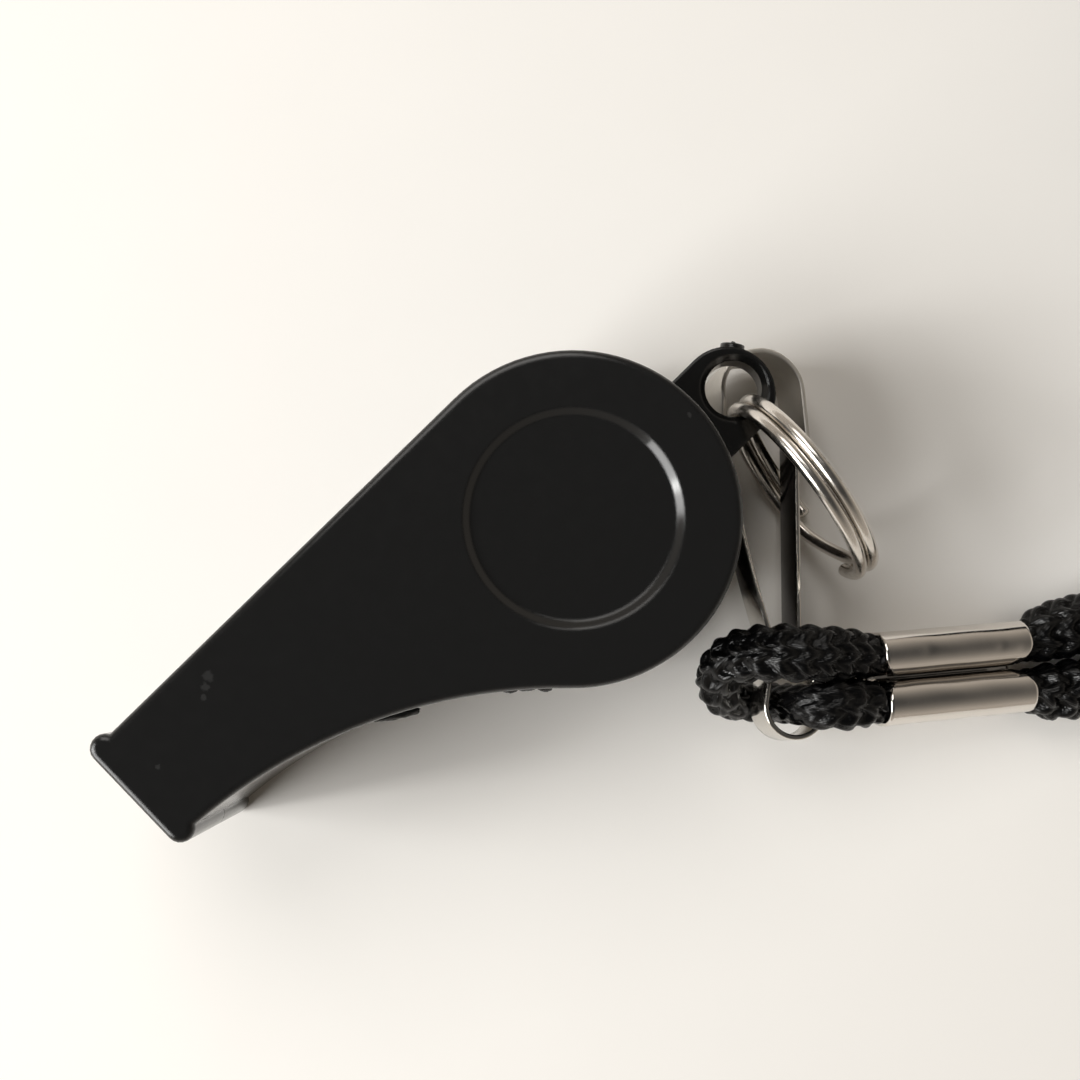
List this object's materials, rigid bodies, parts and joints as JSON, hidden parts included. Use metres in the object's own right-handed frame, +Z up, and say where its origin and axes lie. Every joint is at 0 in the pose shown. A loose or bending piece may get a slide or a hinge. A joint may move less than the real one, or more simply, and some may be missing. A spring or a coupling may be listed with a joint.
{
  "type": "whistle",
  "caption": "Moulded plastic pea whistle with a lug, split ring and strip hook on a knitted neck lanyard with a metal crimp.",
  "frame": {"origin": "on the sound chamber's axis, in the plane of the side face that the whistle lies on", "axes": "+X along the straight blowing edge from the mouth end towards the lug, +Y out through the sound window, +Z up through the upper side face"},
  "size_m": [0.1717, 0.0562, 0.018],
  "materials": {
    "shell_plastic": "satin moulded plastic with fine scuffs",
    "pea_cork": "plain cork",
    "plated_metal": "nickel plated steel, lightly dented",
    "knit_cord": "black knitted polyester cord",
    "tie_band": "soft black band"
  },
  "bodies": {
    "whistle": {"left_shell": "shell_plastic", "right_shell": "shell_plastic"},
    "pea": {"pea": "pea_cork"},
    "ring": {"split_ring": "plated_metal"},
    "hook": {"hook_body": "plated_metal"},
    "gate": {"hook_gate": "plated_metal"},
    "lanyard": {"cord_bight": "knit_cord", "crimp": "plated_metal", "strand_upper": "knit_cord", "strand_lower": "knit_cord", "cord_hank": "knit_cord", "hank_tie": "tie_band"}
  },
  "joints": [
    {"name": "pea_orbit", "type": "hinge", "parent": "whistle", "child": "pea", "pos_m": [0, 0, 0], "axis": [0, 0, 1], "continuous": true},
    {"name": "ring_swing", "type": "hinge", "parent": "whistle", "child": "ring", "pos_m": [0.0157, -0.00115, 0.00845], "axis": [0, 0, 1], "range_deg": [-2, 120]},
    {"name": "hook_swing", "type": "hinge", "parent": "ring", "child": "hook", "pos_m": [0.01608, -0.00574, 0.0035], "axis": [0, 0, 1], "range_deg": [-2, 8]},
    {"name": "gate_flex", "type": "hinge", "parent": "hook", "child": "gate", "pos_m": [0.00594, -0.01818, 0.00428], "axis": [0.1965, -0.0963, 0.9758], "range_deg": [0, 1.5], "stiffness_Nm_per_rad": 0.02, "springref_deg": -5.73},
    {"name": "lanyard_swing", "type": "hinge", "parent": "hook", "child": "lanyard", "pos_m": [0.00245, -0.02113, 0.00469], "axis": [0, 0, 1], "range_deg": [-10, 10]}
  ]
}
